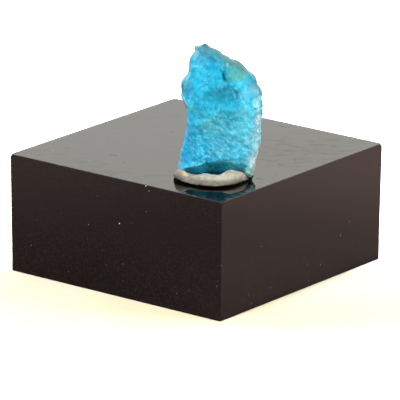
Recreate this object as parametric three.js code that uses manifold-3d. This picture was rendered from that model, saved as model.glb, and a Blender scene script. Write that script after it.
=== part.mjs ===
// A shard of blue-green apatite, held by a pad of mounting putty on a square black display block.
// Units are millimetres and +Z is up. The origin is the centre of the block's underside.
// The specimen has a frame of its own on the block's top: x runs across its broad face, y from that
// face to its back, and z up from the block.

import * as THREE from "three";
import { mergeVertices } from "three/addons/utils/BufferGeometryUtils.js";
import Module from "manifold-3d";

const wasm = await Module();
wasm.setup();

// ---------------------------------------------------------------- driving dimensions

const BLOCK = { side: 30, height: 13.9, cornerRadius: 0.65, edgeBreak: 0.18 };

// Where the specimen stands on the block, and how far its broad face is turned from the block's sides.
const STAND = { x: 8.3, y: -7.5, turn: THREE.MathUtils.degToRad(37.7) };

// Clearance between the crystal's foot and the socket that it has pressed into the putty.
const SOCKET_GAP = 0.3;

// The shard's outline, seen square to its broad face: [height, x] from the foot to the tip.
const LEFT_EDGE = [
  [0.5, -3.9],
  [1.0, -4.24],
  [1.8, -4.03],
  [2.7, -3.77],
  [3.5, -3.52],
  [4.3, -3.3],
  [5.0, -3.15],
  [5.8, -3.04],
  [7.3, -3.06],
  [7.9, -3.16],
  [8.4, -3.34],
  [9.0, -3.73],
  [9.5, -3.86],
  [10.1, -3.74],
  [10.7, -3.62],
  [11.2, -3.42],
  [11.7, -3.14],
  [12.3, -3.01],
  [13.5, -2.83],
  [14.1, -2.63],
  [14.9, -2.47],
  [15.25, -1.3],
];
const RIGHT_EDGE = [
  [0.5, 4.12],
  [1.0, 4.45],
  [1.8, 4.78],
  [2.7, 4.87],
  [3.5, 4.9],
  [4.3, 5.0],
  [5.7, 5.14],
  [7.2, 5.27],
  [8.0, 5.34],
  [8.8, 5.38],
  [9.2, 5.27],
  [9.8, 5.05],
  [10.4, 4.78],
  [11.2, 4.38],
  [11.9, 3.94],
  [12.4, 3.48],
  [13.1, 2.7],
  [13.5, 2.1],
  [13.8, 1.48],
  [14.2, 0.66],
  [14.7, -0.18],
  [15.1, -0.8],
  [15.25, -1.08],
];

// How far the broad face and the back stand out from the shard's middle plane: [height, distance].
const FRONT_BULGE = [
  [0.5, 2.5],
  [2.4, 2.9],
  [7.0, 2.85],
  [11.0, 2.6],
  [13.5, 1.7],
  [15.25, 0.7],
];
const BACK_BULGE = [
  [0.5, 2.3],
  [3.5, 2.9],
  [7.0, 2.8],
  [11.0, 2.1],
  [13.5, 1.3],
  [15.25, 0.5],
];

// Above 2, a section of the shard is squarer than an ellipse.
const SECTION_SQUARENESS = 2.6;
const SHARD_SIDES = 40;
const SHARD_ROWS = 44;

// Shell-shaped hollows left where chips sprang off: the deepest point, the way that the hollow faces,
// its radius of curvature, how far its curve runs, and how much wider than high it is.
const HOLLOWS = {
  upperFace: { at: [-1.3, -1.35, 12.2], facing: [-0.2, -0.95, 0.25], radius: 14, reach: 5.5 },
  pool: { at: [0.1, -2.0, 9.4], facing: [0, -1, 0.15], radius: 3.2, reach: 2.2, wide: 1.6 },
  shoulder: { at: [2.6, -1.65, 12.3], facing: [0.4, -0.8, 0.45], radius: 14, reach: 4.5 },
  lowerFace: { at: [0.2, -2.3, 5.0], facing: [-0.04, -1, 0.05], radius: 24, reach: 5.5 },
  leftMargin: { at: [-3.1, -1.2, 4.4], facing: [-0.62, -0.78, 0.02], radius: 9, reach: 4.6 },
  leftBulge: { at: [-3.1, -1.0, 9.5], facing: [-0.72, -0.68, 0.15], radius: 6, reach: 3 },
  arch: { at: [1.15, -1.3, 1.85], facing: [0, -0.62, -0.78], radius: 4.2, reach: 3.2, wide: 1.3 },
  leftArch: { at: [-1.3, -1.3, 0.95], facing: [-0.25, -0.6, -0.75], radius: 4.2, reach: 3.0 },
  upperBack: { at: [1.1, 1.5, 10.6], facing: [0.12, 0.95, 0.28], radius: 9, reach: 5 },
  lowerBack: { at: [-0.9, 2.1, 4.3], facing: [-0.18, 0.98, -0.06], radius: 11, reach: 5 },
};

// Flat breaks: a point on each, and the way that it faces.
const BREAKS = {
  flake: { at: [4.75, -1.55, 8.7], facing: [0.68, -0.66, 0.32] },
  leftBack: { at: [-2.9, 1.0, 3.6], facing: [-0.7, 0.71, 0.05] },
  rightBack: { at: [4.1, 1.4, 6.0], facing: [0.74, 0.67, 0.02] },
  shoulderBack: { at: [2.6, 0.8, 12.4], facing: [0.3, 0.75, 0.59] },
  tip: { at: [-1.5, -0.75, 14.9], facing: [-0.2, -0.85, 0.5] },
};

// The narrow right-hand side: a flat that small ledges break into steps.
const RIM = {
  at: [4.5, -1.3, 4.2],
  facing: [0.87, -0.49, -0.1],
  from: 1.2,
  to: 9.0,
  steps: 9,
  depth: 0.2,
};

// The fissure beside the shoulder, as [x, height] along it on the broad face, its width, and how far
// in front of the middle plane it ends.
const FISSURE = {
  path: [
    [0.48, 12.95],
    [0.8, 12.5],
    [0.93, 11.95],
    [1.16, 11.5],
    [1.6, 11.25],
  ],
  width: 0.18,
  floor: 1.35,
};

// How finely a hollow's cutter is divided, and a size that takes a cutter's back clear of the shard.
const HOLLOW_SIDES = 36;
const HOLLOW_RINGS = 9;
const CUTTER_SIZE = 14;

// The pad's rim: x and y of its outer edge, the height of its crest there, and the crest's share of
// the way out to the edge.
const PUTTY_RIM = [
  [-4.7, -0.3, 0.75, 0.9],
  [-4.65, -1.3, 0.95, 0.92],
  [-4.2, -2.35, 1.18, 0.9],
  [-3.6, -3.05, 1.1, 0.85],
  [-3.0, -3.55, 0.88, 0.8],
  [-1.9, -4.15, 1.06, 0.7],
  [-1.0, -4.5, 1.12, 0.68],
  [-0.1, -4.68, 1.03, 0.67],
  [0.7, -4.6, 1.02, 0.68],
  [1.4, -4.3, 1.28, 0.7],
  [2.0, -3.8, 1.54, 0.74],
  [2.7, -3.1, 1.34, 0.78],
  [3.4, -2.3, 1.08, 0.82],
  [4.0, -1.4, 0.7, 0.86],
  [4.15, -0.3, 0.6, 0.86],
  [4.0, 0.9, 0.9, 0.82],
  [3.2, 2.3, 1.2, 0.78],
  [1.5, 3.2, 1.0, 0.74],
  [-0.7, 3.4, 1.25, 0.74],
  [-2.8, 2.8, 1.0, 0.78],
  [-4.2, 1.4, 1.1, 0.85],
];

// The pad's section, from under its middle round its edge to its top: [share of reach, share of
// height].
const PUTTY_SECTION = [
  [0, 0],
  [0.45, 0],
  [0.93, 0],
  [0.99, 0.1],
  [1.0, 0.22],
  [0.98, 0.38],
  [0.92, 0.57],
  [0.83, 0.76],
  [0.74, 0.92],
  [0.65, 1.0],
  [0.58, 0.92],
  [0.48, 0.6],
  [0.3, 0.48],
  [0, 0.48],
];
const PUTTY_CREST = 0.65;
const PUTTY_SIDES = 60;

// ---------------------------------------------------------------- helpers

// The closed solid of a geometry.
function solidOf(geometry) {
  const bare = new THREE.BufferGeometry();
  const loose = geometry.index ? geometry.toNonIndexed() : geometry;
  bare.setAttribute("position", loose.getAttribute("position"));
  const merged = mergeVertices(bare, 1e-4);
  return new wasm.Manifold(
    new wasm.Mesh({
      numProp: 3,
      vertProperties: new Float32Array(merged.attributes.position.array),
      triVerts: new Uint32Array(merged.index.array),
    }),
  );
}

// The flat-shaded geometry of a solid.
function geometryOf(solid) {
  const mesh = solid.getMesh();
  const geometry = new THREE.BufferGeometry();
  geometry.setAttribute("position", new THREE.BufferAttribute(mesh.vertProperties, 3));
  geometry.setIndex(new THREE.BufferAttribute(mesh.triVerts, 1));
  const flat = geometry.toNonIndexed();
  flat.computeVertexNormals();
  return flat;
}

// The largest body of a solid, without any loose splinter that a cut has left.
function largestBody(solid) {
  return solid.decompose().reduce((a, b) => (b.volume() > a.volume() ? b : a));
}

// The value of a [place, value] table at a place between two of its rows.
function along(table, place) {
  const after = table.findIndex(([at]) => at >= place);
  if (after === 0) return table[0][1];
  if (after < 0) return table.at(-1)[1];
  const [a, low] = table[after - 1];
  const [b, high] = table[after];
  return THREE.MathUtils.mapLinear(place, a, b, low, high);
}

// Moves each vertex of a geometry to where place(vertex) puts it.
function warp(geometry, place) {
  const position = geometry.getAttribute("position");
  const vertex = new THREE.Vector3();
  for (let i = 0; i < position.count; i++) {
    vertex.fromBufferAttribute(position, i);
    place(vertex);
    position.setXYZ(i, vertex.x, vertex.y, vertex.z);
  }
  return geometry;
}

// Turns a geometry that points along +Y to face a way, keeping its +X level, and moves it to a point.
function aim(geometry, at, facing) {
  const out = new THREE.Vector3(...facing).normalize();
  const level = new THREE.Vector3().crossVectors(out, new THREE.Vector3(0, 0, 1)).normalize();
  const rise = new THREE.Vector3().crossVectors(level, out);
  return geometry.applyMatrix4(new THREE.Matrix4().makeBasis(level, out, rise).setPosition(...at));
}

// ---------------------------------------------------------------- display block

function blockGeometry() {
  const { side, height, cornerRadius, edgeBreak } = BLOCK;
  const half = side / 2 - edgeBreak;
  const radius = cornerRadius - edgeBreak;
  const square = new THREE.Shape();
  square.absarc(half - radius, half - radius, radius, 0, Math.PI / 2);
  square.absarc(radius - half, half - radius, radius, Math.PI / 2, Math.PI);
  square.absarc(radius - half, radius - half, radius, Math.PI, 1.5 * Math.PI);
  square.absarc(half - radius, radius - half, radius, 1.5 * Math.PI, 2 * Math.PI);
  const block = new THREE.ExtrudeGeometry(square, {
    depth: height - 2 * edgeBreak,
    curveSegments: 6,
    bevelSize: edgeBreak,
    bevelThickness: edgeBreak,
    bevelSegments: 2,
  });
  return geometryOf(solidOf(block.translate(0, 0, edgeBreak)));
}

// ---------------------------------------------------------------- apatite shard

// The shard before its hollows and breaks, with its surface moved out by grow.
function shardBlank(grow) {
  const foot = LEFT_EDGE[0][0] - grow;
  const tip = LEFT_EDGE.at(-1)[0] + grow;
  const power = 2 / SECTION_SQUARENESS;
  const column = new THREE.CylinderGeometry(1, 1, 1, SHARD_SIDES, SHARD_ROWS).rotateX(Math.PI / 2);
  warp(column, (p) => {
    const height = THREE.MathUtils.lerp(foot, tip, p.z + 0.5);
    const left = along(LEFT_EDGE, height) - grow;
    const right = along(RIGHT_EDGE, height) + grow;
    const bulge = along(p.y < 0 ? FRONT_BULGE : BACK_BULGE, height) + grow;
    const across = Math.sign(p.x) * Math.abs(p.x) ** power;
    const deep = Math.sign(p.y) * Math.abs(p.y) ** power;
    p.set((left + right) / 2 + (across * (right - left)) / 2, deep * bulge, height);
  });
  return solidOf(column);
}

// What a hollow takes away: a round-nosed cutter, drawn back by grow.
function hollowCutter({ at, facing, radius, reach, wide = 1 }, grow) {
  const nose = Array.from({ length: HOLLOW_RINGS + 1 }, (_, i) => {
    const out = (reach * i) / HOLLOW_RINGS;
    return new THREE.Vector2(out, radius - Math.sqrt(radius ** 2 - out ** 2) + grow);
  });
  const shank = [new THREE.Vector2(reach, CUTTER_SIZE), new THREE.Vector2(0, CUTTER_SIZE)];
  const cutter = new THREE.LatheGeometry([...nose, ...shank], HOLLOW_SIDES).scale(wide, 1, 1);
  return solidOf(aim(cutter, at, facing));
}

// What a flat break takes away, drawn back by grow.
function breakCutter({ at, facing }, grow) {
  const slab = new THREE.BoxGeometry(CUTTER_SIZE, CUTTER_SIZE, CUTTER_SIZE);
  return solidOf(aim(slab.translate(0, CUTTER_SIZE / 2 + grow, 0), at, facing));
}

// What one ledge of the right-hand side takes away, drawn back by grow.
function ledgeCutter(step, grow) {
  const { at, facing, from, to, steps, depth } = RIM;
  const tall = (to - from) / steps;
  const unevenness = (step * 0.618) % 1;
  const middle = from + (step + 0.5 + 0.3 * unevenness) * tall;
  const ledge = new THREE.BoxGeometry(6, 4, tall * 1.4)
    .rotateX(0.12 * (unevenness - 0.5))
    .translate(0, 2 + grow - depth * unevenness, middle - at[2]);
  return solidOf(aim(ledge, at, facing));
}

// The thin slot of the fissure, which closes at both ends.
function fissureSlot() {
  const { path, width, floor } = FISSURE;
  const line = new THREE.CatmullRomCurve3(path.map(([x, z]) => new THREE.Vector3(x, z, 0)));
  const steps = 10;
  const side = (offset) =>
    Array.from({ length: steps + 1 }, (_, i) => {
      const point = line.getPoint(i / steps);
      const heading = line.getTangent(i / steps);
      const swell = offset * Math.sin((Math.PI * i) / steps);
      return new THREE.Vector2(point.x - heading.y * swell, point.y + heading.x * swell);
    });
  const outline = [...side(width / 2), ...side(-width / 2).slice(1, -1).reverse()];
  const slot = new THREE.ExtrudeGeometry(new THREE.Shape(outline), {
    depth: CUTTER_SIZE,
    bevelEnabled: false,
  });
  return solidOf(slot.rotateX(Math.PI / 2).translate(0, -floor, 0));
}

// The shard with its surface moved out by grow: 0 for itself, the gap for the socket it needs.
function shardSolid(grow = 0) {
  let shard = shardBlank(grow);
  for (const hollow of Object.values(HOLLOWS)) shard = shard.subtract(hollowCutter(hollow, grow));
  for (const flat of Object.values(BREAKS)) shard = shard.subtract(breakCutter(flat, grow));
  for (let step = 0; step < RIM.steps; step++) shard = shard.subtract(ledgeCutter(step, grow));
  return largestBody(shard);
}

// ---------------------------------------------------------------- mounting putty

function puttyPad() {
  const closed = (points) => new THREE.CatmullRomCurve3(points, true);
  const rim = closed(PUTTY_RIM.map(([x, y, crest]) => new THREE.Vector3(x, y, crest)));
  const ridge = closed(PUTTY_RIM.map(([, , , share]) => new THREE.Vector3(share, 0, 0)));
  const section = PUTTY_SECTION.map(([reach, height]) => new THREE.Vector2(reach, height));
  const round = new THREE.LatheGeometry(section, PUTTY_SIDES).rotateX(Math.PI / 2);
  warp(round, (p) => {
    const share = Math.hypot(p.x, p.y);
    if (share === 0) return;
    const turn = (Math.atan2(p.y, p.x) / (2 * Math.PI) + 1.5) % 1;
    const edge = rim.getPoint(turn);
    const crest = ridge.getPoint(turn).x;
    const outer = (share - PUTTY_CREST) / (1 - PUTTY_CREST);
    const reach = outer < 0 ? (share * crest) / PUTTY_CREST : THREE.MathUtils.lerp(crest, 1, outer);
    p.set(edge.x * reach, edge.y * reach, edge.z * p.z);
  });
  return solidOf(round);
}

// ---------------------------------------------------------------- assembly

function named(name, geometry, look) {
  const mesh = new THREE.Mesh(geometry, new THREE.MeshStandardMaterial(look));
  mesh.name = name;
  return mesh;
}

const block = named("display_block", blockGeometry(), {
  color: 0x16100e,
  roughness: 0.12,
  metalness: 0,
});

const crystal = named("apatite_crystal", geometryOf(shardSolid().subtract(fissureSlot())), {
  color: 0x35b3e0,
  roughness: 0.15,
  metalness: 0,
  flatShading: true,
});

const puttySolid = largestBody(puttyPad().subtract(shardSolid(SOCKET_GAP)));
const putty = named("mounting_putty", geometryOf(puttySolid), {
  color: 0xb9b4a4,
  roughness: 0.85,
  metalness: 0,
});

const specimen = new THREE.Group();
specimen.position.set(STAND.x, STAND.y, BLOCK.height);
specimen.rotation.z = STAND.turn;
specimen.add(crystal, putty);

const model = new THREE.Group();
model.add(block, specimen);

export default model;
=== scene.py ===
"""A shard of apatite in a pad of mounting putty on a polished black block, dressed around its frame.

The shard and the putty are worked on in millimetres, in the specimen's own frame on the block's top:
x runs across the shard's broad face, y from that face to its back, and z up from the block.
"""

import logging
import math
from dataclasses import dataclass, field
from enum import Enum

import bmesh
import bpy
from mathutils import Matrix, Vector, noise
from mathutils.bvhtree import BVHTree


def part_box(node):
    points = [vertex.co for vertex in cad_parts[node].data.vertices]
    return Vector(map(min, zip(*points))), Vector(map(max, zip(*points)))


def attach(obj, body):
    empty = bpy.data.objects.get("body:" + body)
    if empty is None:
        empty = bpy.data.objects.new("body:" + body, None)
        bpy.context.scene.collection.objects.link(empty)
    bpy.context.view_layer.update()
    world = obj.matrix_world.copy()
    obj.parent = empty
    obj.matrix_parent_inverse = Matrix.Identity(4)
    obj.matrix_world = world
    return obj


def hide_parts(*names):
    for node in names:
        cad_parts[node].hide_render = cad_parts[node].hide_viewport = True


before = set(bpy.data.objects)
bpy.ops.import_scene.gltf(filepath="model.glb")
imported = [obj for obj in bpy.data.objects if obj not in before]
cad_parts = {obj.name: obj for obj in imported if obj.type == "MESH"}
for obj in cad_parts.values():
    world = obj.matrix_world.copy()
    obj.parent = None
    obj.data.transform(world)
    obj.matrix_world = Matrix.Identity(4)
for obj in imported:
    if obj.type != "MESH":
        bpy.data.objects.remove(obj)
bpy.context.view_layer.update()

MILLIMETRE = 0.001
LOG = logging.getLogger("specimen")

Colour = tuple[float, float, float]
Point = tuple[float, float, float]
Span = tuple[float, float]
Pull = tuple[Point, Point, float]
Socket = bpy.types.NodeSocket
Shape = bmesh.types.BMesh

ACROSS: Point = (1.0, 0.0, 0.0)
DEEP: Point = (0.0, 1.0, 0.0)
UP: Point = (0.0, 0.0, 1.0)


class Slot(Enum):
    """The record's material slots."""

    ACRYLIC = "black_acrylic"
    PUTTY = "putty"
    APATITE = "apatite"


class Node(Enum):
    """The frame's nodes."""

    BLOCK = "display_block"
    PUTTY = "mounting_putty"
    SHARD = "apatite_crystal"


@dataclass(frozen=True)
class Stand:
    """Where the specimen stands on the block.

    Attributes:
        x: its place along the block's front, in metres from the middle.
        y: its place from front to back, in metres from the middle.
        turn: how far its broad face is turned from the block's front.
    """

    x: float = 0.0083
    y: float = -0.0075
    turn: float = math.radians(37.7)

    def to_row(self) -> Matrix:
        """The transform from the specimen's millimetres to the row's metres."""
        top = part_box(Node.BLOCK.value)[1].z
        place = Matrix.Translation((self.x, self.y, top))
        return place @ Matrix.Rotation(self.turn, 4, "Z") @ Matrix.Scale(MILLIMETRE, 4)


# ---------------------------------------------------------------- node trees


@dataclass(frozen=True)
class Cloud:
    """One kind of noise.

    Attributes:
        scale: how many waves it has to the unit.
        detail: how many finer layers it has.
        rough: how strong those are.
        distortion: how far it is bent.
        edge: the levels at which its clouds start and are full.
        share: what it gives where there is no cloud, and in the middle of one.
    """

    scale: float
    detail: float = 3.0
    rough: float = 0.5
    distortion: float = 0.0
    edge: Span = (0.0, 1.0)
    share: Span = (0.0, 1.0)


class Graph:
    """A node tree, with short calls that add nodes to it and join them."""

    def __init__(self, tree: bpy.types.NodeTree) -> None:
        """Takes the tree to work on."""
        self.tree = tree

    def feed(self, socket: Socket, value: object) -> None:
        """Joins an output to a socket, or sets the socket's own value.

        Args:
            socket: the input to fill.
            value: another node's output, a number, a vector or a colour.
        """
        if isinstance(value, Socket):
            self.tree.links.new(value, socket)
        elif socket.type == "RGBA" and len(value) == 3:
            socket.default_value = (*value, 1.0)
        else:
            socket.default_value = value

    def add(self, kind: str, inputs: dict | None = None, **settings: object) -> bpy.types.Node:
        """Adds a node.

        Args:
            kind: the node's type, without the ShaderNode before it.
            inputs: what goes into its sockets, by their name or number.
            settings: the node's own properties.

        Returns:
            The new node.
        """
        made = self.tree.nodes.new("ShaderNode" + kind)
        for name, value in settings.items():
            setattr(made, name, value)
        for socket, value in (inputs or {}).items():
            self.feed(made.inputs[socket], value)
        return made

    def math(self, operation: str, a: object, b: object = 0.0) -> Socket:
        """One step of arithmetic on two values."""
        return self.add("Math", {0: a, 1: b}, operation=operation).outputs[0]

    def times(self, a: object, b: object) -> Socket:
        """The product of two values."""
        return self.math("MULTIPLY", a, b)

    def most(self, a: object, b: object) -> Socket:
        """The larger of two values."""
        return self.math("MAXIMUM", a, b)

    def vector(self, operation: str, a: object, b: object) -> Socket:
        """One step of arithmetic on two vectors."""
        return self.add("VectorMath", {0: a, 1: b}, operation=operation).outputs["Vector"]

    def stretched(self, point: object, scale: Point) -> Socket:
        """A point with each of its coordinates scaled."""
        return self.vector("MULTIPLY", point, scale)

    def dot(self, a: object, b: object) -> Socket:
        """Two vectors' dot product."""
        return self.add("VectorMath", {0: a, 1: b}, operation="DOT_PRODUCT").outputs["Value"]

    def length(self, a: object) -> Socket:
        """A vector's length."""
        return self.add("VectorMath", {0: a}, operation="LENGTH").outputs["Value"]

    def ramp(self, value: object, low: object, high: object, to: Span = (0.0, 1.0)) -> Socket:
        """A soft step from to[0] to to[1] as a value goes from low to high."""
        ends = {"Value": value, "From Min": low, "From Max": high, "To Min": to[0], "To Max": to[1]}
        return self.add("MapRange", ends, interpolation_type="SMOOTHSTEP").outputs["Result"]

    def noise(self, point: object, cloud: Cloud) -> Socket:
        """Noise about 0.5 at a point."""
        return self.add("TexNoise", {
            "Vector": point,
            "Scale": cloud.scale,
            "Detail": cloud.detail,
            "Roughness": cloud.rough,
            "Distortion": cloud.distortion,
        }).outputs["Fac"]

    def clouds(self, point: object, cloud: Cloud) -> Socket:
        """Soft-edged clouds of noise at a point."""
        return self.ramp(self.noise(point, cloud), *cloud.edge, cloud.share)

    def swayed(self, point: object, cloud: Cloud, amount: float) -> Socket:
        """A point that noise moves, along each axis by between 0 and an amount."""
        sway = self.add("TexNoise", {"Vector": point, "Scale": cloud.scale, "Detail": cloud.detail})
        return self.add("VectorMath", {0: sway.outputs["Color"], 1: (amount,) * 3, 2: point},
                        operation="MULTIPLY_ADD").outputs["Vector"]

    def mix(self, share: object, a: object, b: object) -> Socket:
        """Colour a, turning to colour b as share goes from 0 to 1."""
        made = self.add("Mix", data_type="RGBA")
        self.feed(made.inputs[0], share)
        self.feed(made.inputs[6], a)
        self.feed(made.inputs[7], b)
        return made.outputs[2]

    def tinge(self, mask: object, share: float, a: object, b: object) -> Socket:
        """Colour a, turned to colour b by a share where a mask is 1."""
        return self.mix(self.times(mask, share), a, b)

    def bump(self, height: object, distance: float) -> Socket:
        """A normal tilted by a height from 0 to 1, which stands for distance metres."""
        inputs = {"Height": height, "Distance": distance, "Strength": 1.0}
        return self.add("Bump", inputs).outputs["Normal"]

    def mapped(self, point: object, kind: str = "POINT", **settings: Point) -> Socket:
        """A point moved, turned and scaled, or put back from such a frame if the kind is TEXTURE."""
        return self.add("Mapping", {"Vector": point, **settings}, vector_type=kind).outputs["Vector"]

    def surface(self, output: str) -> Socket:
        """One output of the Texture Coordinate node, such as Object or Normal."""
        return self.add("TexCoord").outputs[output]

    def group(self, tree: bpy.types.NodeTree, **inputs: object) -> Socket:
        """Adds a node group and returns its one output."""
        made = self.tree.nodes.new("ShaderNodeGroup")
        made.node_tree = tree
        for name, value in inputs.items():
            self.feed(made.inputs[name.replace("_", " ")], value)
        return made.outputs[0]


def new_group(name: str, inputs: dict[str, str], output: str
              ) -> tuple[Graph, bpy.types.Node, bpy.types.Node]:
    """Makes an empty shader node group.

    Args:
        name: the group's name.
        inputs: the names of its inputs, each with its socket type.
        output: the name of its one output, a value.

    Returns:
        Its graph, its input node and its output node.
    """
    tree = bpy.data.node_groups.new(name, "ShaderNodeTree")
    for socket, kind in inputs.items():
        tree.interface.new_socket(socket, in_out="INPUT", socket_type="NodeSocket" + kind)
    tree.interface.new_socket(output, in_out="OUTPUT", socket_type="NodeSocketFloat")
    start = tree.nodes.new("NodeGroupInput")
    end = tree.nodes.new("NodeGroupOutput")
    return Graph(tree), start, end


class Effects:
    """The effects that more than one finish uses, each a node group that is built once."""

    def __init__(self) -> None:
        """Builds the groups."""
        self.patch = self._patch()
        self.specks = self._specks()
        self.line = self._line()

    @staticmethod
    def _patch() -> bpy.types.NodeTree:
        """A mask that is 1 at the centre of an oval patch and falls softly to 0 at its reach."""
        graph, start, end = new_group(
            "soft patch", {"Point": "Vector", "Centre": "Vector", "Reach": "Vector", "Edge": "Float"},
            "Mask")
        offset = graph.vector("SUBTRACT", start.outputs["Point"], start.outputs["Centre"])
        share = graph.length(graph.vector("DIVIDE", offset, start.outputs["Reach"]))
        inner = graph.math("SUBTRACT", 1.0, start.outputs["Edge"])
        graph.feed(end.inputs[0], graph.ramp(share, inner, 1.0, (1.0, 0.0)))
        return graph.tree

    @staticmethod
    def _specks() -> bpy.types.NodeTree:
        """A mask of small round specks, of which only a share of the cells has one."""
        graph, start, end = new_group(
            "specks", {"Point": "Vector", "Scale": "Float", "Size": "Float", "Share": "Float"}, "Mask")
        cells = graph.add(
            "TexVoronoi", {"Vector": start.outputs["Point"], "Scale": start.outputs["Scale"]})
        inside = graph.math("LESS_THAN", cells.outputs["Distance"], start.outputs["Size"])
        lot = graph.add("SeparateColor", {0: cells.outputs["Color"]}).outputs[0]
        chosen = graph.math("LESS_THAN", lot, start.outputs["Share"])
        graph.feed(end.inputs[0], graph.times(inside, chosen))
        return graph.tree

    @staticmethod
    def _line() -> bpy.types.NodeTree:
        """A mask that is 1 along a straight stroke and falls softly to 0 at its width."""
        graph, start, end = new_group(
            "soft line", {"Point": "Vector", "Start": "Vector", "End": "Vector", "Width": "Float"},
            "Mask")
        run = graph.vector("SUBTRACT", start.outputs["End"], start.outputs["Start"])
        offset = graph.vector("SUBTRACT", start.outputs["Point"], start.outputs["Start"])
        share = graph.math("DIVIDE", graph.dot(offset, run), graph.dot(run, run))
        held = graph.add("Clamp", {"Value": share}).outputs["Result"]
        along = graph.add("VectorMath", {0: run, "Scale": held}, operation="SCALE").outputs["Vector"]
        away = graph.length(graph.vector("SUBTRACT", offset, along))
        graph.feed(end.inputs[0], graph.ramp(away, 0.0, start.outputs["Width"], (1.0, 0.0)))
        return graph.tree


def start_material(name: str, viewport: Colour) -> tuple[bpy.types.Material, Graph, bpy.types.Node]:
    """Makes a material with an empty node tree and its output.

    Args:
        name: the material's name.
        viewport: its plain colour.

    Returns:
        The material, its graph and its output node.
    """
    material = bpy.data.materials.new(name)
    material.use_nodes = True
    material.diffuse_color = (*viewport, 1.0)
    material.node_tree.nodes.clear()
    graph = Graph(material.node_tree)
    return material, graph, graph.add("OutputMaterial")


def specimen_point(graph: Graph, stand: Stand) -> Socket:
    """The shaded point in the specimen's frame, in millimetres."""
    return graph.mapped(graph.surface("Object"), "TEXTURE", Location=stand.to_row().to_translation(),
                        Rotation=(0.0, 0.0, stand.turn), Scale=(MILLIMETRE,) * 3)


# ---------------------------------------------------------------- finishes
#
# Places and widths are in millimetres, and the heights of bumps in metres. A span is where an effect
# starts and where it is full, or its share or its roughness there. A share is how strongly it shows,
# and a squeeze how many times as fine its noise is along x, y and z.


@dataclass(frozen=True)
class Band:
    """A soft step along an axis.

    Attributes:
        axis: the direction that it is measured in.
        low: where it starts.
        high: where it is full.
        share: what it gives before it starts, and where it is full.
    """

    axis: Point
    low: float
    high: float
    share: Span = (0.0, 1.0)

    def mask(self, graph: Graph, vector: Socket) -> Socket:
        """The band's mask, for a point or a normal."""
        return graph.ramp(graph.dot(vector, self.axis), self.low, self.high, self.share)


@dataclass(frozen=True)
class Patch:
    """A soft oval place.

    Attributes:
        centre: its middle.
        reach: how far it goes each way.
        edge: how much of its reach is a soft edge, from 0 to 1.
    """

    centre: Point
    reach: Point
    edge: float = 0.7

    def mask(self, graph: Graph, effects: Effects, point: Socket) -> Socket:
        """The patch's mask."""
        return graph.group(effects.patch, Point=point, Centre=self.centre, Reach=self.reach,
                           Edge=self.edge)


@dataclass(frozen=True)
class Tint:
    """A soft patch of another colour in the stone.

    Attributes:
        centre: its middle, in the specimen's millimetres.
        reach: how far it goes each way.
        colour: what the stone's own colour turns to there.
        share: how much of it turns.
        edge: how much of its reach is a soft edge, from 0 to 1.
    """

    centre: Point
    reach: Point
    colour: Colour
    share: float = 1.0
    edge: float = 0.8


def tinted(graph: Graph, effects: Effects, point: Socket, colour: Socket, tints: tuple[Tint, ...],
           ) -> Socket:
    """Lays soft patches of other colours over a colour, one after another.

    Args:
        graph: the finish's node tree.
        effects: the effects that finishes share.
        point: the shaded point.
        colour: the colour below them.
        tints: the patches.

    Returns:
        The patched colour.
    """
    for tint in tints:
        mask = Patch(tint.centre, tint.reach, tint.edge).mask(graph, effects, point)
        colour = graph.tinge(mask, tint.share, colour, tint.colour)
    return colour


@dataclass(frozen=True)
class Specks:
    """One family of small round specks, at most one to a cell.

    Attributes:
        scale: how many cells there are to the millimetre.
        size: their radius, as a share of a cell.
        cells: how many of the cells have one.
        share: how strongly they show.
    """

    scale: float
    size: float
    cells: float
    share: float

    def mask(self, graph: Graph, effects: Effects, point: Socket) -> Socket:
        """The specks' mask."""
        return graph.group(effects.specks, Point=point, Scale=self.scale, Size=self.size,
                           Share=self.cells)


@dataclass(frozen=True)
class Stroke:
    """A narrow line on the stone's broad face.

    Attributes:
        path: the points that it runs through: x and z, in the specimen's millimetres.
        width: how far it reaches to each side.
        colour: what the stone's own colour turns to there.
        share: how much of it turns.
        broken: whether it is broken up into short marks.
        outline: whether it runs along the shard's outline, and so shows from behind too, though not
            on the left-hand side face.
    """

    path: tuple[tuple[float, float], ...]
    width: float
    colour: Colour
    share: float = 1.0
    broken: bool = False
    outline: bool = False


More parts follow.
